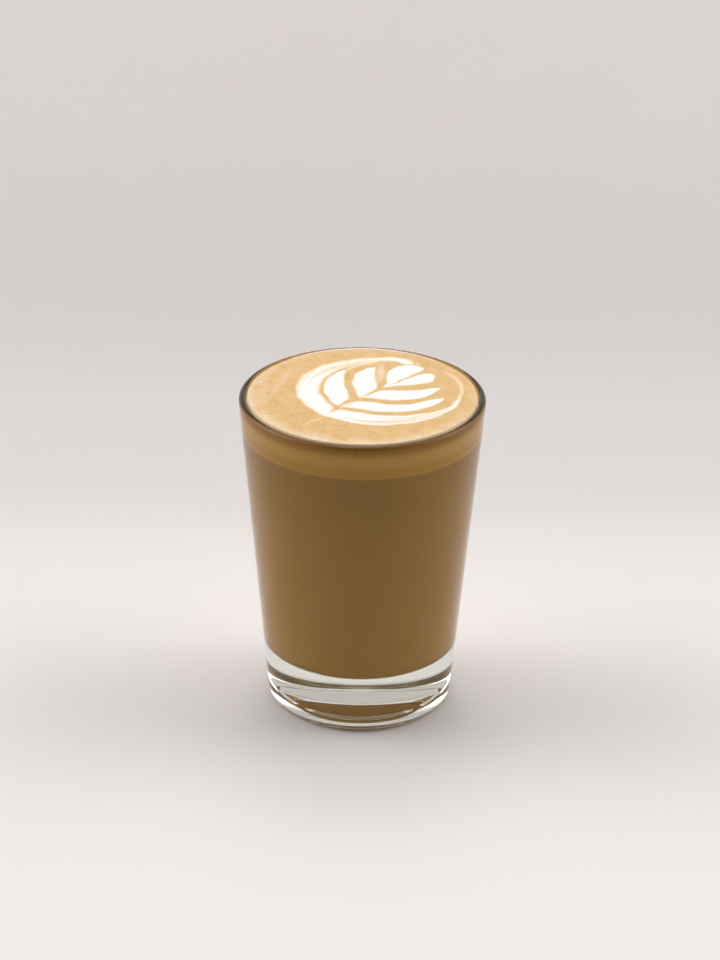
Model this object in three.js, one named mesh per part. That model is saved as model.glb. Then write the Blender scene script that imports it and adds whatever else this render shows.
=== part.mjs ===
// A cortado in its glass: a plain conical tumbler with a heavy clear base, filled to the lip.
// From the bottom up it holds coffee with milk, a pale layer of milk foam and a cap of crema.
// Millimetres, +Z up, with the origin on the table under the middle of the glass.
import * as THREE from "three";

// Driving dimensions of the glass
const GLASS_HEIGHT = 86;
const RIM_RADIUS = 32; // where the slanted outer side would reach the lip's height
const BASE_RADIUS = 24.2; // where the slanted outer side would reach the table
const WALL = 2.1;
const FLOOR_HEIGHT = 15.4; // from the table to the inside floor
const FLOOR_FILLET = 3.5;
const HEEL_ROUND = 2.4;
const BEARING_INNER_RADIUS = 19;
const SKIRT_BEND_RADIUS = 15.2; // where the skirt between step and bearing ring flattens out
const STEP_FOOT_RADIUS = 13.3; // foot of the small step around the hollow underneath
const STEP_FOOT_HEIGHT = 0.4;
const HOLLOW_RADIUS = 12.8;
const HOLLOW_EDGE_HEIGHT = 1.2;
const HOLLOW_FLAT_RADIUS = 9.6; // where the hollow starts to turn down to its edge
const HOLLOW_HEIGHT = 3;

// Driving dimensions of the drink
const COFFEE_TOP = 76.4;
const FOAM_TOP = 83.2;
const SURFACE_SHOULDER = 0.8; // round where the surface turns down to the wall
const SURFACE_EDGE = 86.1; // height of the surface just inside that round
const SURFACE_CROWN = 86.5; // height of the surface in the middle
const GAP = 0.3; // between pieces that touch

// How finely round shapes are cut into flat faces
const TURN_STEPS = 64;
const ARC_STEPS = 4;

// Angle by which the side leans outwards, and the radius of a line a set distance inside it
const LEAN = Math.atan2(RIM_RADIUS - BASE_RADIUS, GLASS_HEIGHT);
const DRINK_INSET = WALL + GAP;

function sideRadius(height, inset) {
  return BASE_RADIUS + height * Math.tan(LEAN) - inset / Math.cos(LEAN);
}

// Turns a profile of radius and height about the upright axis into one named solid
function turned(name, profile, material) {
  const geometry = new THREE.LatheGeometry(profile.getPoints(ARC_STEPS), TURN_STEPS);
  geometry.rotateX(Math.PI / 2);
  const mesh = new THREE.Mesh(geometry, new THREE.MeshStandardMaterial(material));
  mesh.name = name;
  return mesh;
}

// The glass: hollow, step, skirt, bearing ring, heel, slanted side, round lip, inside and floor
function glass() {
  const lipRound = WALL / 2;
  const lipHeight = GLASS_HEIGHT - lipRound;
  const filletHeight = FLOOR_HEIGHT + FLOOR_FILLET;
  const filletRadius = sideRadius(filletHeight, WALL + FLOOR_FILLET);
  const profile = new THREE.Path();
  profile.moveTo(0, HOLLOW_HEIGHT);
  profile.quadraticCurveTo(HOLLOW_FLAT_RADIUS, HOLLOW_HEIGHT, HOLLOW_RADIUS, HOLLOW_EDGE_HEIGHT);
  profile.lineTo(STEP_FOOT_RADIUS, STEP_FOOT_HEIGHT);
  profile.quadraticCurveTo(SKIRT_BEND_RADIUS, 0, BEARING_INNER_RADIUS, 0);
  profile.absarc(sideRadius(HEEL_ROUND, HEEL_ROUND), HEEL_ROUND, HEEL_ROUND, -Math.PI / 2, -LEAN, false);
  profile.absarc(sideRadius(lipHeight, lipRound), lipHeight, lipRound, -LEAN, Math.PI - LEAN, false);
  profile.absarc(filletRadius, filletHeight, FLOOR_FILLET, -LEAN, -Math.PI / 2, true);
  profile.lineTo(0, FLOOR_HEIGHT);
  return turned("glass", profile, {
    color: 0xdfe6e0,
    roughness: 0.03,
    metalness: 0,
    transparent: true,
    opacity: 0.35,
  });
}

// The coffee with milk, which fills the glass from its rounded floor to the foam
function coffee() {
  const filletHeight = FLOOR_HEIGHT + FLOOR_FILLET;
  const filletRadius = sideRadius(filletHeight, WALL + FLOOR_FILLET);
  const bottom = FLOOR_HEIGHT + GAP;
  const profile = new THREE.Path();
  profile.moveTo(0, bottom);
  profile.lineTo(filletRadius, bottom);
  profile.absarc(filletRadius, filletHeight, FLOOR_FILLET - GAP, -Math.PI / 2, -LEAN, false);
  profile.lineTo(sideRadius(COFFEE_TOP, DRINK_INSET), COFFEE_TOP);
  profile.lineTo(0, COFFEE_TOP);
  return turned("coffee", profile, { color: 0x7a5a2e, roughness: 0.35, metalness: 0 });
}

// The milk foam, a level layer across the glass
function foam() {
  const bottom = COFFEE_TOP + GAP;
  const profile = new THREE.Path();
  profile.moveTo(0, bottom);
  profile.lineTo(sideRadius(bottom, DRINK_INSET), bottom);
  profile.lineTo(sideRadius(FOAM_TOP, DRINK_INSET), FOAM_TOP);
  profile.lineTo(0, FOAM_TOP);
  return turned("foam", profile, { color: 0xa8824c, roughness: 0.5, metalness: 0 });
}

// The crema, a shallow dome just proud of the lip that turns down to the wall at its edge
function crema() {
  const bottom = FOAM_TOP + GAP;
  const shoulderHeight = SURFACE_EDGE - SURFACE_SHOULDER;
  const shoulderRadius = sideRadius(shoulderHeight, DRINK_INSET + SURFACE_SHOULDER);
  const rise = SURFACE_CROWN - SURFACE_EDGE;
  const domeRadius = (shoulderRadius ** 2 + rise ** 2) / (2 * rise);
  const edgeAngle = Math.acos(shoulderRadius / domeRadius);
  const profile = new THREE.Path();
  profile.moveTo(0, bottom);
  profile.lineTo(sideRadius(bottom, DRINK_INSET), bottom);
  profile.absarc(shoulderRadius, shoulderHeight, SURFACE_SHOULDER, -LEAN, Math.PI / 2, false);
  profile.absarc(0, SURFACE_CROWN - domeRadius, domeRadius, edgeAngle, Math.PI / 2, false);
  return turned("crema", profile, { color: 0xe9c48d, roughness: 0.55, metalness: 0 });
}

const cortado = new THREE.Group();
cortado.add(glass(), coffee(), foam(), crema());

export default cortado;
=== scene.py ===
import math

import bpy
import numpy as np
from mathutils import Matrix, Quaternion, Vector


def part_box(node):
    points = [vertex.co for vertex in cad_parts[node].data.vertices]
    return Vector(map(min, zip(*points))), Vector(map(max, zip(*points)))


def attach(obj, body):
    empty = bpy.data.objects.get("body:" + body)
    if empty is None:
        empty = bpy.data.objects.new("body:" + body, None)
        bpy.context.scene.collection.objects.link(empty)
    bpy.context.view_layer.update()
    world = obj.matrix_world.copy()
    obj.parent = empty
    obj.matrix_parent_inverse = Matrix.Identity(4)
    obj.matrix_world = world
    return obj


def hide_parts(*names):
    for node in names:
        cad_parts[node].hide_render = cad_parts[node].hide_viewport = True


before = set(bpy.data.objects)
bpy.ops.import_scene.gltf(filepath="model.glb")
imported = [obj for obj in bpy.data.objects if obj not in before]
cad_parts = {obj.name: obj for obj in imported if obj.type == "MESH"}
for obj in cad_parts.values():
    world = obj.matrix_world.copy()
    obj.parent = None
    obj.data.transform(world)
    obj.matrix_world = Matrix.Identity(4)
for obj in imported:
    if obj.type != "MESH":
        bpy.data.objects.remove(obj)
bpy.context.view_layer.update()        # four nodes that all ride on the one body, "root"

# The glass
# A plain conical tumbler pressed from clear soda glass, with a heavy solid base and a fire-polished lip.
# The plunger leaves a smooth inside with a rounded floor, and the mould a shallow hollow with a small step
# round it underneath, so that the glass stands on a flat ring.
MM = 0.001
BODY = "root"
WHITE = (1, 1, 1, 1)
TURNS = 384
ARC_STEPS = 10
CURVE_STEPS = 24
SHARP_CORNER = math.radians(40)

GLASS_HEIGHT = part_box("glass")[1].z / MM
RIM_RADIUS = 32.0
BASE_RADIUS = 24.2
LEAN = math.atan2(RIM_RADIUS - BASE_RADIUS, GLASS_HEIGHT)
WALL = 2.1
LIP_ROUND = 1.0
FLOOR_HEIGHT = 15.4
FLOOR_FILLET = 3.5
HEEL_ROUND = 2.4
BEARING_RADIUS = 19.0
SKIRT_BEND_RADIUS = 15.2
SKIRT_TRIM = 3           # points of the skirt that the rounded foot of the step takes the place of
STEP_FOOT_RADIUS = 13.3
STEP_FOOT_HEIGHT = 0.4
STEP_ROUND = 0.35
HOLLOW_RADIUS = 12.8
HOLLOW_EDGE_HEIGHT = 1.2
HOLLOW_FLAT_RADIUS = 9.6
HOLLOW_HEIGHT = 3.0

GLASS_IOR = 1.5
GLASS_MIRROR = (0.5, 0.5, 0.5, 1)
GLASS_TINT = (0.725, 0.755, 0.695, 1)
TINT_DENSITY = 20.0
WAVE_LENGTH = 9.0
WAVE_DETAIL = 1.0
WAVE_STRENGTH = 0.12
WAVE_DEPTH = 0.2


def side_radius(height, inset=0.0):
    """Radius, at a height, of the slanted outer side or of a line set in from it."""
    return BASE_RADIUS + height * math.tan(LEAN) - inset / math.cos(LEAN)


def unit(vector):
    """The vector cut or drawn out to a length of one."""
    return vector / np.linalg.norm(vector)


def rounded_outline(corners, arc_steps=ARC_STEPS):
    """Points (radius, height) along straight runs between corners, each rounded by its third number."""
    spots = [np.array(corner[:2]) for corner in corners]
    outline = [spots[0]]
    for before, spot, after, corner in zip(spots, spots[1:], spots[2:], corners[1:]):
        back = unit(before - spot)
        ahead = unit(after - spot)
        half_angle = math.acos(back @ ahead) / 2
        centre = spot + unit(back + ahead) * corner[2] / math.sin(half_angle)
        reach = corner[2] / math.tan(half_angle)
        start = spot + back * reach - centre
        end = spot + ahead * reach - centre
        turn = math.pi - 2 * half_angle
        for share in np.linspace(0, 1, arc_steps + 1):
            mix = start * math.sin((1 - share) * turn) + end * math.sin(share * turn)
            outline.append(centre + mix / math.sin(turn))
    outline.append(spots[-1])
    return outline


def bowed(start, bend, end):
    """Points along a curve that leaves its start, and would reach its end, in line with the bend point."""
    share = np.linspace(0, 1, CURVE_STEPS, endpoint=False)[:, None]
    first = np.array(start) * (1 - share) + np.array(bend) * share
    second = np.array(bend) * (1 - share) + np.array(end) * share
    return list(first * (1 - share) + second * share)


def glass_outline():
    """Hollow, step, skirt, bearing ring, heel, slanted side, lip, inside and floor of the glass."""
    hollow_edge = (HOLLOW_RADIUS, HOLLOW_EDGE_HEIGHT)
    step_foot = (STEP_FOOT_RADIUS, STEP_FOOT_HEIGHT)
    hollow = bowed((0, HOLLOW_HEIGHT), (HOLLOW_FLAT_RADIUS, HOLLOW_HEIGHT), hollow_edge)
    skirt = bowed(step_foot, (SKIRT_BEND_RADIUS, 0), (BEARING_RADIUS, 0))[SKIRT_TRIM:]
    step = rounded_outline([
        hollow[-1],
        (*hollow_edge, STEP_ROUND),
        (*step_foot, STEP_ROUND),
        skirt[0],
    ])
    rest = rounded_outline([
        (BEARING_RADIUS, 0),
        (BASE_RADIUS, 0, HEEL_ROUND),
        (RIM_RADIUS, GLASS_HEIGHT, LIP_ROUND),
        (side_radius(GLASS_HEIGHT, WALL), GLASS_HEIGHT, LIP_ROUND),
        (side_radius(FLOOR_HEIGHT, WALL), FLOOR_HEIGHT, FLOOR_FILLET),
        (0, FLOOR_HEIGHT),
    ])
    return hollow[:-1] + step[:-1] + skirt + rest


def turned(outline):
    """Spins an outline that starts and ends on the axis into the vertices and faces of a closed solid."""
    angles = np.arange(TURNS) * 2 * math.pi / TURNS
    vertices = [(0, 0, outline[0][1])]
    for radius, height in outline[1:-1]:
        vertices += [(radius * math.cos(a), radius * math.sin(a), height) for a in angles]
    vertices.append((0, 0, outline[-1][1]))
    last = len(vertices) - 1
    rings = len(outline) - 2
    faces = []
    for step in range(TURNS):
        following = (step + 1) % TURNS
        faces.append((0, 1 + following, 1 + step))
        for ring in range(rings - 1):
            low = 1 + ring * TURNS
            high = low + TURNS
            faces.append((low + step, low + following, high + following, high + step))
        top = 1 + (rings - 1) * TURNS
        faces.append((last, top + step, top + following))
    return vertices, faces


def new_piece(name, vertices, faces):
    """A mesh object from vertices in millimetres, shaded smooth except across sharp corners."""
    mesh = bpy.data.meshes.new(name)
    mesh.from_pydata((np.array(vertices) * MM).tolist(), [], faces)
    mesh.polygons.foreach_set("use_smooth", np.ones(len(mesh.polygons), dtype=bool))
    mesh.set_sharp_from_angle(angle=SHARP_CORNER)
    mesh.update()
    piece = bpy.data.objects.new(name, mesh)
    bpy.context.scene.collection.objects.link(piece)
    return piece


def new_material(name):
    """A material with a bare node tree, and that tree."""
    material = bpy.data.materials.new(name)
    material.use_nodes = True
    material.node_tree.nodes.clear()
    return material, material.node_tree


def put(tree, kind, inputs=None, **settings):
    """Adds a node, sets its options, and links or sets each of its inputs."""
    node = tree.nodes.new(kind)
    for name, value in settings.items():
        setattr(node, name, value)
    for name, value in (inputs or {}).items():
        if isinstance(value, bpy.types.NodeSocket):
            tree.links.new(value, node.inputs[name])
        else:
            node.inputs[name].default_value = value
    return node


def glass_material():
    """Clear, faintly green glass whose surface is a little uneven from the mould."""
    material, tree = new_material("clear_glass")
    waves = put(tree, "ShaderNodeTexNoise", {
        "Vector": put(tree, "ShaderNodeTexCoord").outputs["Object"],
        "Scale": 1 / (WAVE_LENGTH * MM),
        "Detail": WAVE_DETAIL,
    })
    bump = put(tree, "ShaderNodeBump", {
        "Height": waves.outputs["Fac"],
        "Strength": WAVE_STRENGTH,
        "Distance": WAVE_DEPTH * MM,
    })
    shader = put(tree, "ShaderNodeBsdfPrincipled", {
        "Base Color": WHITE,
        "Roughness": 0.0,
        "IOR": GLASS_IOR,
        "Specular Tint": GLASS_MIRROR,
        "Transmission Weight": 1.0,
        "Normal": bump.outputs["Normal"],
    })
    tint = put(tree, "ShaderNodeVolumeAbsorption", {"Color": GLASS_TINT, "Density": TINT_DENSITY})
    put(tree, "ShaderNodeOutputMaterial", {
        "Surface": shader.outputs["BSDF"],
        "Volume": tint.outputs["Volume"],
    })
    return material


glass = new_piece("glass_tumbler", *turned(glass_outline()))
glass.data.materials.append(glass_material())
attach(glass, BODY)
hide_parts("glass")

# The coffee
# Espresso cut with warm milk, an opaque even brown that fills the glass from its rounded floor to the foam.
# It wets the glass all over, so it reaches just into the wall and no gap shows.
INTO_WALL = 0.15
COFFEE_TOP = 76.4
CLOUD_LENGTH = 14.0
CLOUD_DETAIL = 2.0
CLOUDING = 0.2
COFFEE_ROUGHNESS = 0.4
WET_SHINE = 0.1
# Colours from the foam, at 0, down to the floor, at 1
COFFEE_TONES = [
    (0.0, (0.445, 0.228, 0.034, 1)),
    (0.35, (0.54, 0.285, 0.050, 1)),
    (1.0, (0.635, 0.352, 0.075, 1)),
]
# Slants, from 0 head on to 1 edge on, at which the wetted wall starts to mirror and mirrors in full
MIRROR_START = 0.59
MIRROR_FULL = 0.64


def wall_radius(height):
    """Radius at which the drink ends, just past the inner face of the wall."""
    return side_radius(height, WALL - INTO_WALL)


def coffee_outline():
    """Flat bottom, rounded corner, slanted side and flat top of the coffee."""
    floor_height = FLOOR_HEIGHT - INTO_WALL
    outline = rounded_outline([
        (0, floor_height),
        (wall_radius(floor_height), floor_height, FLOOR_FILLET),
        (wall_radius(COFFEE_TOP), COFFEE_TOP),
    ])
    return outline + [np.array((0, COFFEE_TOP))]


def share_of(tree, value, start, end):
    """How far a value has come from a start to an end, held between 0 and 1."""
    scaled = put(tree, "ShaderNodeMapRange", {"Value": value, "From Min": start, "From Max": end})
    return scaled.outputs["Result"]


def reckon(tree, operation, *values):
    """The result of one step of arithmetic."""
    return put(tree, "ShaderNodeMath", dict(enumerate(values)), operation=operation).outputs["Value"]


def graded(tree, share, tones):
    """The colour that a share picks from (share, colour) stops, the first at 0 and the last at 1."""
    ramp = put(tree, "ShaderNodeValToRGB", {"Fac": share})
    stops = ramp.color_ramp.elements
    stops[0].color = tones[0][1]
    stops[1].color = tones[-1][1]
    for position, colour in tones[1:-1]:
        stops.new(position).color = colour
    return ramp.outputs["Color"]


def height_of(tree, place):
    """The height, in metres, of the place being shaded."""
    return put(tree, "ShaderNodeSeparateXYZ", {"Vector": place}).outputs["Z"]


def wet_glass(tree, shader, mask=1.0):
    """Ends a drink's material: at a slant through the glass, the wetted wall mirrors like a still liquid."""
    facing = put(tree, "ShaderNodeLayerWeight").outputs["Facing"]
    slant = share_of(tree, facing, MIRROR_START, MIRROR_FULL)
    mirror = put(tree, "ShaderNodeBsdfGlossy", {"Color": WHITE, "Roughness": 0.0})
    mix = put(tree, "ShaderNodeMixShader", {
        0: reckon(tree, "MULTIPLY", slant, mask),
        1: shader.outputs["BSDF"],
        2: mirror.outputs["BSDF"],
    })
    put(tree, "ShaderNodeOutputMaterial", {"Surface": mix.outputs["Shader"]})


def coffee_material():
    """Milky coffee that is darker under the foam and faintly clouded."""
    material, tree = new_material("milky_coffee")
    place = put(tree, "ShaderNodeTexCoord").outputs["Object"]
    clouds = put(tree, "ShaderNodeTexNoise", {
        "Vector": place,
        "Scale": 1 / (CLOUD_LENGTH * MM),
        "Detail": CLOUD_DETAIL,
    })
    depth = share_of(tree, height_of(tree, place), COFFEE_TOP * MM, FLOOR_HEIGHT * MM)
    mixed = reckon(tree, "MULTIPLY_ADD", clouds.outputs["Fac"], CLOUDING, depth)
    shader = put(tree, "ShaderNodeBsdfPrincipled", {
        "Base Color": graded(tree, mixed, COFFEE_TONES),
        "Roughness": COFFEE_ROUGHNESS,
        "Specular IOR Level": WET_SHINE,
    })
    wet_glass(tree, shader)
    return material


coffee = new_piece("coffee_body", *turned(coffee_outline()))
coffee.data.materials.append(coffee_material())
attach(coffee, BODY)
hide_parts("coffee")

# The milk foam
# A level layer of fine steamed-milk foam stained by the coffee, floating between the coffee and the crema.
# It pales above its middle and darkens at the top, where the crema runs into it.
FOAM_TOP = 83.2
FOAM_ROUGHNESS = 0.5
FOAM_EDGE_COLOUR = (0.53, 0.26, 0.034, 1)
# Colours from the coffee, at 0, up to the crema, at 1
FOAM_TONES = [
    (0.0, (0.70, 0.375, 0.062, 1)),
    (0.28, (0.67, 0.35, 0.048, 1)),
    (0.62, (0.735, 0.415, 0.08, 1)),
    (0.88, (0.67, 0.365, 0.064, 1)),
    (1.0, FOAM_EDGE_COLOUR),
]


def foam_outline():
    """Flat bottom, slanted side and flat top of the foam."""
    return [
        np.array((0, COFFEE_TOP)),
        np.array((wall_radius(COFFEE_TOP), COFFEE_TOP)),
        np.array((wall_radius(FOAM_TOP), FOAM_TOP)),
        np.array((0, FOAM_TOP)),
    ]


def foam_material():
    """Stained milk foam, in level bands of colour."""
    material, tree = new_material("milk_foam")
    place = put(tree, "ShaderNodeTexCoord").outputs["Object"]
    level = share_of(tree, height_of(tree, place), COFFEE_TOP * MM, FOAM_TOP * MM)
    shader = put(tree, "ShaderNodeBsdfPrincipled", {
        "Base Color": graded(tree, level, FOAM_TONES),
        "Roughness": FOAM_ROUGHNESS,
        "Specular IOR Level": WET_SHINE,
    })
    wet_glass(tree, shader)
    return material


foam = new_piece("milk_foam_layer", *turned(foam_outline()))
foam.data.materials.append(foam_material())
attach(foam, BODY)
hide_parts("foam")

# The crema
# The tan cap of the drink, level with the lip and set off from it by a fine groove where it meets the glass.
# Its foam is fine and a little pitted, paler round the edge, and a leaf is poured into it in white milk:
# a thin stem, petals on both sides, long outer petals that sweep round them and a heart at the tip.
CREMA_GRID = 280
CREMA_EDGE_RADIUS = 29.45
CREMA_EDGE_HEIGHT = 86.1
CREMA_CROWN = 86.4
SHOULDER_WIDTH = 0.25
SHOULDER_DROP = 0.1
SHOULDER_ROUND = 0.15
SHOULDER_RINGS = 5       # rings of vertices outside the grid that look like its edge
SHOULDER_LOOK = {"milk": 0.0, "pale": 0.8, "pits": 0.0, "top": 1.0}
GROOVE_HEIGHT = 84.55
GROOVE_WIDTH = 0.3
GROOVE_RISE = 0.2
GROOVE_ROUND = 0.1
EDGE_ARC_STEPS = 2
# Below this height the side's dark band, with its painted shade of the lip, fades into the foam
LIP_SHADE_BAND_HEIGHT = 83.9
MILK_RISE = 0.04

# Random ripples: height, wave length and seed
RIPPLE_WAVES = 9
RIPPLE_STRETCH = (0.7, 1.5)
WANDER_ACROSS = [(0.16, 5.0, 1), (0.05, 1.3, 3)]
WANDER_AWAY = [(0.16, 5.0, 2), (0.05, 1.3, 4)]
PALE_EDGE_RIPPLES = [(0.8, 9.0, 5), (0.25, 2.0, 6)]
PALE_RIPPLES = [(0.10, 4.0, 7)]
PIT_RIPPLES = [(0.2, 7.0, 8)]
EDGE_RIPPLES = [(0.09, 2.4, 9)]
EDGE_RIPPLE_START = 0.9  # share of the radius from which the outline turns uneven
FOAM_RIPPLES = [(0.025, 3.0, 10), (0.0125, 1.0, 11)]

# Each petal: how soft its edge is, and points (across, away from the camera) that its outline runs through
PETALS = [
    (1.1, [
        (-9.3, -12.8), (-12.4, -8.8), (-15.3, -3.4), (-16.8, 3.3), (-16.0, 9.5), (-14.1, 14.1), (-10.3, 18.7),
        (-5.3, 21.8), (0.5, 23.7), (5.5, 24.4), (8.8, 24.5), (11.8, 23.5), (13.4, 21.6), (12.8, 20.1),
        (10.5, 21.0), (9.0, 22.0), (5.5, 22.2), (2.2, 20.8), (-1.2, 19.5), (-4.5, 17.6), (-7.4, 14.5),
        (-9.9, 9.9), (-11.2, 4.5), (-10.5, -0.1), (-8.7, -4.3), (-7.4, -7.6), (-8.0, -11.3),
    ]),
    (0.6, [
        (-6.2, -6.5), (-8.0, -2.6), (-9.5, 2.0), (-9.5, 7.0), (-8.3, 11.2), (-6.2, 14.5), (-4.6, 15.9),
        (-4.2, 14.6), (-4.6, 11.2), (-4.5, 6.2), (-3.7, 2.0), (-3.3, -1.3), (-4.3, -3.8),
    ]),
    (0.55, [
        (-0.5, -0.9), (-1.4, 2.8), (-2.2, 7.0), (-2.0, 11.2), (-0.8, 14.5), (1.3, 17.0), (3.2, 18.0),
        (3.6, 17.0), (3.4, 13.3), (3.8, 9.1), (3.8, 5.3), (2.8, 2.8), (1.1, 0.5),
    ]),
    (0.5, [
        (6.2, 5.0), (6.7, 8.3), (6.5, 12.0), (7.0, 15.4), (8.5, 17.9), (11.0, 19.4), (13.9, 19.6),
        (16.0, 18.3), (16.2, 16.7), (15.1, 15.1), (12.3, 12.3), (9.2, 8.9),
    ]),
    (0.5, [
        (5.7, 4.6), (10.4, 9.2), (14.2, 12.9), (16.0, 14.3), (17.6, 14.3), (18.9, 12.9), (19.0, 11.1),
        (17.9, 9.2), (15.7, 7.6), (12.3, 6.7), (9.2, 6.1),
    ]),
    (0.4, [
        (-0.3, -1.3), (2.6, 1.0), (5.1, 2.8), (8.0, 3.3), (11.8, 3.3), (15.5, 3.9), (18.6, 5.1), (20.1, 5.1),
        (19.9, 3.7), (18.0, 1.0), (15.5, -1.1), (12.2, -2.4), (8.8, -2.9), (5.5, -2.4), (2.2, -1.8),
    ]),
    (0.4, [
        (-5.5, -7.6), (-3.7, -5.3), (-1.2, -3.9), (2.2, -4.3), (5.5, -5.1), (9.3, -5.6), (13.0, -4.8),
        (16.3, -3.2), (19.3, -1.5), (20.9, -1.1), (20.7, -3.0), (18.4, -5.7), (15.5, -8.0), (12.2, -9.5),
        (8.0, -10.1), (3.8, -9.7), (0.1, -8.6), (-3.3, -7.8),
    ]),
    (0.7, [
        (-9.1, -12.6), (-7.0, -10.1), (-4.9, -9.0), (-1.2, -10.3), (2.6, -11.8), (6.8, -12.2), (11.3, -12.0),
        (15.5, -10.7), (19.7, -8.8), (23.0, -5.5), (24.9, -1.5), (25.6, 1.5), (25.5, -2.0), (23.8, -6.8),
        (20.5, -11.3), (15.9, -14.7), (10.9, -17.0), (5.5, -18.0), (0.5, -17.6), (-3.7, -16.1), (-7.0, -14.0),
    ]),
]
PETAL_SOFTNESS = 1.4
LEAF_SHIFT = (-0.3, -0.6)
PATH_STEPS = 6
# Each trail: half its width, how strong it is, how soft its edge is, and points that it runs through
CREMA_TRAILS = [
    (0.30, 0.60, 0.6, [(-9.0, -12.3), (-4.5, -7.3), (-0.4, -2.4), (4.6, 3.6)]),
    (0.18, 0.50, 0.4, [(4.6, 3.6), (9.0, 8.0), (12.0, 11.1), (15.4, 14.2)]),
    (0.36, 0.80, 0.6, [
        (-6.2, -13.4), (-2.0, -14.9), (3.0, -15.8), (8.0, -15.6), (13.0, -14.1), (18.0, -11.6),
    ]),
    (0.26, 0.65, 0.5, [
        (-2.8, -16.2), (3.4, -17.0), (9.7, -16.2), (15.9, -13.5), (20.9, -9.6), (24.3, -3.8),
    ]),
    (0.28, 0.60, 0.5, [(2.0, -14.0), (8.0, -14.1), (14.0, -12.7), (19.5, -10.1), (23.2, -6.4)]),
    (0.30, 0.40, 0.7, [(-13.7, 3.7), (-13.3, 8.7), (-11.2, 13.7), (-7.8, 17.4), (-2.8, 19.9), (2.6, 22.0)]),
    (0.25, 0.45, 0.6, [(-8.7, 18.3), (-2.8, 21.0), (3.8, 22.6), (7.6, 23.0)]),
    (0.70, 0.50, 1.6, [(-12.9, 8.6), (-10.0, 14.4), (-4.5, 19.0), (1.5, 21.4), (7.0, 22.6)]),
    (0.50, 0.30, 1.2, [(-15.8, 0.0), (-15.6, 7.0), (-13.4, 13.6), (-9.4, 18.6), (-3.0, 22.2), (5.0, 23.8)]),
]
MILK_TRAILS = [
    (0.50, 0.60, 1.0, [(-5.4, 14.2), (-2.5, 17.6), (0.4, 19.4), (4.5, 20.8)]),
    (0.50, 0.50, 1.0, [(23.6, -6.0), (25.3, -1.0), (26.0, 4.7), (25.2, 9.7), (23.0, 14.2), (20.4, 17.2)]),
    (0.35, 0.40, 0.8, [(-9.2, -12.9), (-11.2, -14.9), (-13.0, -16.5), (-14.5, -18.0)]),
    (0.45, 0.35, 0.9, [(12.6, 21.8), (14.6, 20.8), (15.4, 19.4)]),
]
PALE_TRAILS = [
    (1.0, 1.0, 1.5, [(5.6, 21.4), (4.8, 15.3), (4.5, 11.2), (4.2, 6.0)]),
    (1.1, 0.5, 2.6, [(-15.8, 16.6), (-19.1, 13.3), (-21.2, 8.7), (-22.2, 3.7), (-22.6, -0.9)]),
    (2.2, 0.35, 3.5, [(-25.5, 8.0), (-26.5, 0.0), (-25.5, -8.0)]),
]
MILK_SPECKS = [
    (9.0, 5.2), (11.0, 5.8), (1.7, -2.3), (4.3, -2.6), (12.0, -2.8), (14.0, -9.2), (8.8, -11.4), (4.9, -10.0),
]
SPECK_RADIUS = 0.2

# The pale edge, strongest at the front and the left: where it starts, how it fades, and its least and most
PALE_EDGE_RADIUS = 27.6
PALE_EDGE_SOFTNESS = 4.0
PALE_MIDDLE = 0.5
PALE_FADE = (1 / 90, 1 / 50)
PALE_LEAST = 0.12
PALE_MORE = 0.85
# Where the pits lie thickest, how thick they lie there, how far they reach and the least there are
PIT_MIDDLE = (-15, -9)
PIT_THICKEST = 1.05
PIT_REACH = 24
PIT_LEAST = 0.08

DARK_TAN = (0.70, 0.43, 0.17, 1)
LIGHT_TAN = (0.79, 0.52, 0.245, 1)
MOTTLE_LENGTH = 3.0
MOTTLE_DETAIL = 6.0
MOTTLE_ROUGHNESS = 0.7
MOTTLE_DARK = 0.32
MOTTLE_LIGHT = 0.68
CREAM = (0.85, 0.66, 0.44, 1)
PIT_COLOUR = (0.50, 0.25, 0.065, 1)
PIT_SPACING = 0.8
PIT_EDGE = 0.36
PIT_BOTTOM = 0.16
PIT_CHANCE = 0.75
PIT_DARKNESS = 0.75
THIN_MILK = (0.92, 0.725, 0.47, 1)
THIN_MILK_FULL = 0.55
THICK_MILK = (0.93, 0.915, 0.885, 1)
THICK_MILK_START = 0.45
# The side's dark band: the crema's darker edge against the glass, with painted shade of the lip in it
DARK_BAND_WITH_LIP_SHADE = (0.32, 0.13, 0.004, 1)
LIGHT_BAND_WITH_LIP_SHADE = (0.53, 0.245, 0.018, 1)
STREAK_WIDTH = 1.2
STREAK_DETAIL = 3.0
STREAK_STRETCH = (1.0, 1.0, 0.15)
GRAIN_SIZE = 0.45
GRAIN_STRENGTH = 0.22
GRAIN_DEPTH = 0.1
CREMA_ROUGHNESS = 0.5
CREMA_SHINE = 0.2


def ripple(places, ripples):
    """The sum of some random ripples at each place."""
    total = np.zeros(len(places))
    for height, length, seed in ripples:
        chance = np.random.default_rng(seed)
        least = (0, RIPPLE_STRETCH[0], 0)
        most = (2 * math.pi, RIPPLE_STRETCH[1], 2 * math.pi)
        for turn, stretch, phase in chance.uniform(least, most, (RIPPLE_WAVES, 3)):
            along = places @ (math.cos(turn), math.sin(turn))
            wave = np.sin(2 * math.pi * along / (length * stretch) + phase)
            total += height * wave / math.sqrt(RIPPLE_WAVES)
    return total


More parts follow.
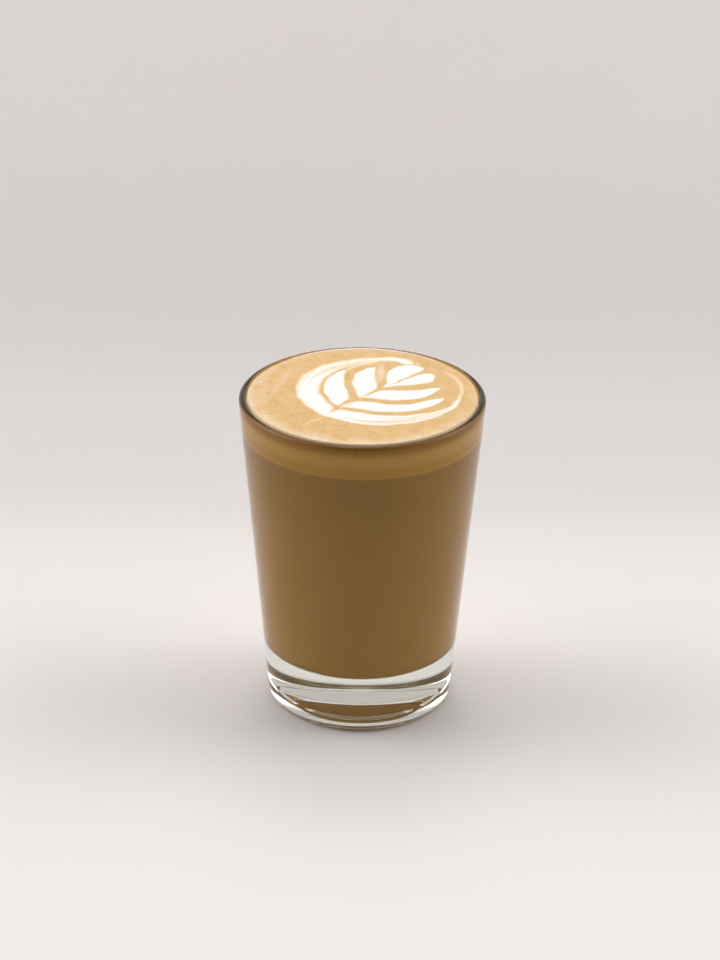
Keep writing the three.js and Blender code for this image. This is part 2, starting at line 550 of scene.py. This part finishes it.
def crema_shape():
    """Vertices and faces of the crema, with the number of vertices in the grid that makes its top."""
    count = CREMA_GRID + 1
    steps = np.linspace(-1, 1, count)
    across, along = np.meshgrid(steps, steps)
    x = CREMA_EDGE_RADIUS * across * np.sqrt(1 - along ** 2 / 2)
    y = CREMA_EDGE_RADIUS * along * np.sqrt(1 - across ** 2 / 2)
    flat = np.stack([x, y], axis=-1).reshape(-1, 2)
    outward = np.hypot(*flat.T) / CREMA_EDGE_RADIUS
    edge_share = np.clip((outward - EDGE_RIPPLE_START) / (1 - EDGE_RIPPLE_START), 0, 1)
    flat = flat * (1 + edge_share * ripple(flat, EDGE_RIPPLES) / CREMA_EDGE_RADIUS)[:, None]
    height = CREMA_CROWN - (CREMA_CROWN - CREMA_EDGE_HEIGHT) * outward ** 2
    height += ripple(flat, FOAM_RIPPLES)
    vertices = np.column_stack([flat, height])
    number = np.arange(count * count).reshape(count, count)
    faces = np.stack([number[:-1, :-1], number[:-1, 1:], number[1:, 1:], number[1:, :-1]], axis=-1)
    faces = faces.reshape(-1, 4).tolist()

    # The shoulder, the groove and the side run down from the grid's edge to the foam
    edge = np.concatenate([number[0, :-1], number[:-1, -1], number[-1, :0:-1], number[:0:-1, 0]])
    angles = np.arctan2(vertices[edge, 1], vertices[edge, 0])
    outline = rounded_outline([
        (CREMA_EDGE_RADIUS, CREMA_EDGE_HEIGHT),
        (CREMA_EDGE_RADIUS + SHOULDER_WIDTH, CREMA_EDGE_HEIGHT - SHOULDER_DROP, SHOULDER_ROUND),
        (wall_radius(GROOVE_HEIGHT) - GROOVE_WIDTH, GROOVE_HEIGHT + GROOVE_RISE, GROOVE_ROUND),
        (wall_radius(GROOVE_HEIGHT), GROOVE_HEIGHT, GROOVE_ROUND),
        (wall_radius(FOAM_TOP), FOAM_TOP),
    ], EDGE_ARC_STEPS)[1:]
    upper = edge
    for radius, ring_height in outline:
        heights = np.full(len(angles), ring_height)
        ring = np.column_stack([radius * np.cos(angles), radius * np.sin(angles), heights])
        lower = np.arange(len(vertices), len(vertices) + len(ring))
        vertices = np.vstack([vertices, ring])
        for step in range(len(ring)):
            following = (step + 1) % len(ring)
            faces.append((lower[step], lower[following], upper[following], upper[step]))
        upper = lower
    middle = len(vertices)
    vertices = np.vstack([vertices, [(0, 0, FOAM_TOP)]])
    faces += [(middle, upper[(step + 1) % len(upper)], upper[step]) for step in range(len(upper))]
    return vertices, faces, count * count


def smooth_path(points, closed=False):
    """Points along a smooth curve that passes through the given ones."""
    spots = np.array(points, dtype=float)
    if closed:
        spots = np.vstack([spots[-1:], spots, spots[:2]])
    else:
        spots = np.vstack([2 * spots[0] - spots[1], spots, 2 * spots[-1] - spots[-2]])
    share = np.linspace(0, 1, PATH_STEPS, endpoint=False)[:, None]
    runs = []
    for a, b, c, d in zip(spots, spots[1:], spots[2:], spots[3:]):
        bend = (2 * a - 5 * b + 4 * c - d) * share ** 2 + (3 * b - a - 3 * c + d) * share ** 3
        runs.append(b + ((c - a) * share + bend) / 2)
    return np.vstack(runs + [spots[-2:-1]])


def reach_of(places, path):
    """How far each place is from a path, how far along it that is, and whether the path runs round it."""
    nearest = np.full(len(places), np.inf)
    share = np.zeros(len(places))
    inside = np.zeros(len(places), dtype=bool)
    x, y = places.T
    for step, (start, end) in enumerate(zip(path, path[1:])):
        run = end - start
        part = np.clip((places - start) @ run / (run @ run), 0, 1)
        reach = np.hypot(x - start[0] - part * run[0], y - start[1] - part * run[1])
        closer = reach < nearest
        nearest[closer] = reach[closer]
        share[closer] = (step + part[closer]) / (len(path) - 1)
        if start[1] != end[1]:
            spans = (start[1] > y) != (end[1] > y)
            inside ^= spans & (x < start[0] + run[0] * (y - start[1]) / run[1])
    return nearest, share, inside


def soft_step(value, softness):
    """0 well below zero and 1 well above it, with a soft change across the given width."""
    share = np.clip(1 / 2 + value / softness, 0, 1)
    return share * share * (3 - 2 * share)


def trail(places, half_width, strength, softness, points):
    """Strength of a thin trail at each place. The trail thins out to nothing at both ends."""
    nearest, share, _ = reach_of(places, smooth_path(points))
    taper = np.sqrt(np.sin(math.pi * share))
    return strength * taper * soft_step(half_width * taper - nearest, softness)


def poured_leaf(places):
    """How white with milk each place on the crema is."""
    wander = np.stack([ripple(places, WANDER_ACROSS), ripple(places, WANDER_AWAY)], axis=-1)
    drawn = places + wander - LEAF_SHIFT
    milk = np.zeros(len(places))
    for softness, outline in PETALS:
        nearest, _, inside = reach_of(drawn, smooth_path(outline, closed=True))
        depth = np.where(inside, nearest, -nearest)
        milk = np.maximum(milk, soft_step(depth, softness * PETAL_SOFTNESS))
    for shape in CREMA_TRAILS:
        milk *= 1 - trail(drawn, *shape)
    for shape in MILK_TRAILS:
        milk = np.maximum(milk, trail(drawn, *shape))
    for speck in MILK_SPECKS:
        away = np.hypot(*(places - speck).T)
        milk = np.maximum(milk, soft_step(SPECK_RADIUS - away, SPECK_RADIUS))
    return milk


def pale_crema(places):
    """How far each place on the crema pales towards cream: round the edge, and in faint arcs."""
    radius = np.hypot(*places.T) + ripple(places, PALE_EDGE_RIPPLES)
    front = np.clip(PALE_MIDDLE - places @ PALE_FADE, 0, 1)
    pale = (PALE_LEAST + PALE_MORE * front) * soft_step(radius - PALE_EDGE_RADIUS, PALE_EDGE_SOFTNESS)
    for shape in PALE_TRAILS:
        pale = np.maximum(pale, trail(places, *shape))
    return np.clip(pale + ripple(places, PALE_RIPPLES), 0, 1)


def pitted_crema(places):
    """How thickly pits lie: mostly at the near left, hardly any at the back."""
    away = np.hypot(*(places - PIT_MIDDLE).T)
    return np.clip(PIT_THICKEST - away / PIT_REACH + ripple(places, PIT_RIPPLES), PIT_LEAST, 1)


def blend(tree, amount, low, high):
    """A colour between two, by an amount from 0 to 1. The numbers are the colour sockets of the mix node."""
    return put(tree, "ShaderNodeMix", {0: amount, 6: low, 7: high}, data_type="RGBA").outputs[2]


def crema_material():
    """Tan foam, mottled and pitted, that turns cream at the edge and white where the milk was poured."""
    material, tree = new_material("crema_with_milk")
    place = put(tree, "ShaderNodeTexCoord").outputs["Object"]
    milk = put(tree, "ShaderNodeAttribute", attribute_name="milk").outputs["Fac"]
    pale = put(tree, "ShaderNodeAttribute", attribute_name="pale").outputs["Fac"]
    pits = put(tree, "ShaderNodeAttribute", attribute_name="pits").outputs["Fac"]
    top = put(tree, "ShaderNodeAttribute", attribute_name="top").outputs["Fac"]
    bare = reckon(tree, "SUBTRACT", 1.0, milk)

    # The foam: mottled tan, cream at the edge
    mottle = put(tree, "ShaderNodeTexNoise", {
        "Vector": place,
        "Scale": 1 / (MOTTLE_LENGTH * MM),
        "Detail": MOTTLE_DETAIL,
        "Roughness": MOTTLE_ROUGHNESS,
    })
    light = share_of(tree, mottle.outputs["Fac"], MOTTLE_DARK, MOTTLE_LIGHT)
    tan = blend(tree, light, DARK_TAN, LIGHT_TAN)
    colour = blend(tree, pale, tan, CREAM)

    # The pits: the middles of some cells picked by chance, where no milk covers them
    cells = put(tree, "ShaderNodeTexVoronoi", {"Vector": place, "Scale": 1 / (PIT_SPACING * MM)})
    hole = share_of(tree, cells.outputs["Distance"], PIT_EDGE, PIT_BOTTOM)
    chance = put(tree, "ShaderNodeSeparateColor", {"Color": cells.outputs["Color"]}).outputs["Red"]
    chosen = reckon(tree, "LESS_THAN", chance, reckon(tree, "MULTIPLY", pits, PIT_CHANCE))
    pit = reckon(tree, "MULTIPLY", reckon(tree, "MULTIPLY", hole, chosen), bare)
    colour = blend(tree, reckon(tree, "MULTIPLY", pit, PIT_DARKNESS), colour, PIT_COLOUR)

    # The milk: creamy where it lies thin, white where it lies thick
    colour = blend(tree, share_of(tree, milk, 0.0, THIN_MILK_FULL), colour, THIN_MILK)
    colour = blend(tree, share_of(tree, milk, THICK_MILK_START, 1.0), colour, THICK_MILK)

    # The side: a streaky dark band against the glass that fades into the foam below: the crema's darker edge
    # with painted shade of the lip in it
    stretched = put(tree, "ShaderNodeVectorMath", {0: place, 1: STREAK_STRETCH}, operation="MULTIPLY")
    streaks = put(tree, "ShaderNodeTexNoise", {
        "Vector": stretched.outputs["Vector"],
        "Scale": 1 / (STREAK_WIDTH * MM),
        "Detail": STREAK_DETAIL,
    })
    band_with_lip_shade = blend(tree, streaks.outputs["Fac"], DARK_BAND_WITH_LIP_SHADE, LIGHT_BAND_WITH_LIP_SHADE)
    above_foam = share_of(tree, height_of(tree, place), FOAM_TOP * MM, LIP_SHADE_BAND_HEIGHT * MM)
    side = blend(tree, above_foam, FOAM_EDGE_COLOUR, band_with_lip_shade)

    # The relief: fine bubbles, and the pits
    grain = put(tree, "ShaderNodeTexVoronoi", {"Vector": place, "Scale": 1 / (GRAIN_SIZE * MM)})
    bubbles = reckon(tree, "MULTIPLY", grain.outputs["Distance"], bare)
    bump = put(tree, "ShaderNodeBump", {
        "Height": reckon(tree, "SUBTRACT", bubbles, pit),
        "Strength": GRAIN_STRENGTH,
        "Distance": GRAIN_DEPTH * MM,
    })
    shader = put(tree, "ShaderNodeBsdfPrincipled", {
        "Base Color": blend(tree, top, side, colour),
        "Roughness": CREMA_ROUGHNESS,
        "Specular IOR Level": CREMA_SHINE,
        "Normal": bump.outputs["Normal"],
    })
    wet_glass(tree, shader, reckon(tree, "SUBTRACT", 1.0, top))
    return material


crema_vertices, crema_faces, top_count = crema_shape()
crema_top = crema_vertices[:top_count, :2]
shoulder_end = top_count + SHOULDER_RINGS * 4 * CREMA_GRID
milk_amount = poured_leaf(crema_top)
crema_vertices[:top_count, 2] += MILK_RISE * milk_amount
crema = new_piece("crema_cap", crema_vertices, crema_faces)
for name, amounts in {
    "milk": milk_amount,
    "pale": pale_crema(crema_top),
    "pits": pitted_crema(crema_top),
    "top": np.ones(top_count),
}.items():
    everywhere = np.zeros(len(crema_vertices))
    everywhere[:top_count] = amounts
    everywhere[top_count:shoulder_end] = SHOULDER_LOOK[name]
    crema.data.attributes.new(name, "FLOAT", "POINT").data.foreach_set("value", everywhere)
crema.data.materials.append(crema_material())
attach(crema, BODY)
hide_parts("crema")

# The studio
# A table of pale matt paper with a low coved card behind it, which glows where steep: painted light on the
# card.
# Large soft lights shine from both sides and from behind, and the camera is at the photograph's angle.
FLOOR_HALF = 3000
AIR_UNDER_GLASS = 0.08
CARD_FOOT = 110
CARD_COVE = 90
CARD_HEIGHT = 180
CARD_LIFT = 0.3
CARD_STEPS = 24
PAPER_COLOUR = (0.80, 0.763, 0.748, 1)
PAPER_ROUGHNESS = 0.9
PAPER_SHINE = 0.1
GLOW_COLOUR = (1.0, 0.955, 0.935, 1)
# Strength of the glow, painted light on the card, from where it lies flat, at 0, to where it stands upright,
# at 1
CARD_GLOW = [(0.0, 0.0), (0.5, 0.24), (0.72, 0.275), (1.0, 0.33)]


def paper_material(name, glow=None):
    """Matt paper, clear from behind, that may glow by how steep it stands, as painted light."""
    material, tree = new_material(name)
    shader = put(tree, "ShaderNodeBsdfPrincipled", {
        "Base Color": PAPER_COLOUR,
        "Roughness": PAPER_ROUGHNESS,
        "Specular IOR Level": PAPER_SHINE,
        "Emission Color": GLOW_COLOUR,
    })
    surface = put(tree, "ShaderNodeNewGeometry")
    if glow:
        away = put(tree, "ShaderNodeSeparateXYZ", {"Vector": surface.outputs["Normal"]}).outputs["Y"]
        greys = [(steepness, (strength, strength, strength, 1)) for steepness, strength in glow]
        strength = graded(tree, reckon(tree, "MULTIPLY", away, -1.0), greys)
        tree.links.new(strength, shader.inputs["Emission Strength"])
    clear = put(tree, "ShaderNodeBsdfTransparent")
    mix = put(tree, "ShaderNodeMixShader", {
        0: surface.outputs["Backfacing"],
        1: shader.outputs["BSDF"],
        2: clear.outputs["BSDF"],
    })
    put(tree, "ShaderNodeOutputMaterial", {"Surface": mix.outputs["Shader"]})
    return material


floor_corners = [(-1, -1), (1, -1), (1, 1), (-1, 1)]
floor_vertices = [(x * FLOOR_HALF, y * FLOOR_HALF, -AIR_UNDER_GLASS) for x, y in floor_corners]
floor = new_piece("floor", floor_vertices, [(0, 1, 2, 3)])
floor.data.materials.append(paper_material("table_paper"))
card_run = [
    (CARD_FOOT + CARD_COVE * math.sin(a), CARD_LIFT + CARD_COVE * (1 - math.cos(a)))
    for a in np.linspace(0, math.pi / 2, CARD_STEPS)
]
card_run.append((CARD_FOOT + CARD_COVE, CARD_HEIGHT))
card_vertices = [(x, y, z) for y, z in card_run for x in (-FLOOR_HALF, FLOOR_HALF)]
card_faces = [(i, i + 1, i + 3, i + 2) for i in range(0, len(card_vertices) - 2, 2)]
card = new_piece("card", card_vertices, card_faces)
card.data.materials.append(paper_material("card_paper", CARD_GLOW))

# Each light: degrees clockwise from the camera's side as seen from above, degrees up, how small, how strong
SOFT_LIGHTS = [(-100, 38, 13, 4.65), (100, 38, 13, 4.25), (180, 66, 30, 4.6), (180, 30, 3, 0.33)]
ROOM_LIGHT = 0.03
ROOM_WALL = 0.68         # what the camera sees past the card
LIGHT_BOUNCES = 24
MIRROR_BOUNCES = 16


def soft_light(tree, towards, azimuth, elevation, tightness, strength):
    """Strength, in the direction looked towards, of a large soft light in the room."""
    a = math.radians(azimuth)
    e = math.radians(elevation)
    out = (math.sin(a) * math.cos(e), -math.cos(a) * math.cos(e), math.sin(e))
    facing = put(tree, "ShaderNodeVectorMath", {0: towards, 1: out}, operation="DOT_PRODUCT")
    falloff = reckon(tree, "POWER", reckon(tree, "MAXIMUM", facing.outputs["Value"], 0.0), tightness)
    return reckon(tree, "MULTIPLY", falloff, strength)


scene = bpy.context.scene
scene.world = bpy.data.worlds.new("studio")
scene.world.use_nodes = True
room = scene.world.node_tree
looked_towards = put(room, "ShaderNodeTexCoord").outputs["Generated"]
room_light = ROOM_LIGHT
for light in SOFT_LIGHTS:
    room_light = reckon(room, "ADD", soft_light(room, looked_towards, *light), room_light)
seen_directly = put(room, "ShaderNodeLightPath").outputs["Is Camera Ray"]
room_strength = put(room, "ShaderNodeMix", {"Factor": seen_directly, "A": room_light, "B": ROOM_WALL})
background = room.nodes["Background"]
background.inputs["Color"].default_value = WHITE
room.links.new(room_strength.outputs["Result"], background.inputs["Strength"])
scene.view_settings.view_transform = "Standard"
scene.cycles.max_bounces = LIGHT_BOUNCES
scene.cycles.transmission_bounces = LIGHT_BOUNCES
scene.cycles.transparent_max_bounces = LIGHT_BOUNCES
scene.cycles.glossy_bounces = MIRROR_BOUNCES

CAMERA_PLACE = Vector((0, -0.7655, 0.4349))
CAMERA_AIM = Vector((-0.0004, 0, 0.0618))
CAMERA_ROLL = math.radians(0.62)
FOCAL_PIXELS = 3264.2
FRAME_LONG_SIDE = 960
SENSOR_WIDTH = 36
camera = bpy.data.objects.new("camera", bpy.data.cameras.new("camera"))
camera.data.sensor_width = SENSOR_WIDTH
camera.data.lens = SENSOR_WIDTH * FOCAL_PIXELS / FRAME_LONG_SIDE
camera.location = CAMERA_PLACE
camera.rotation_mode = "QUATERNION"
aim = (CAMERA_AIM - CAMERA_PLACE).to_track_quat("-Z", "Y")
camera.rotation_quaternion = aim @ Quaternion((0, 0, 1), CAMERA_ROLL)
scene.collection.objects.link(camera)
scene.camera = camera
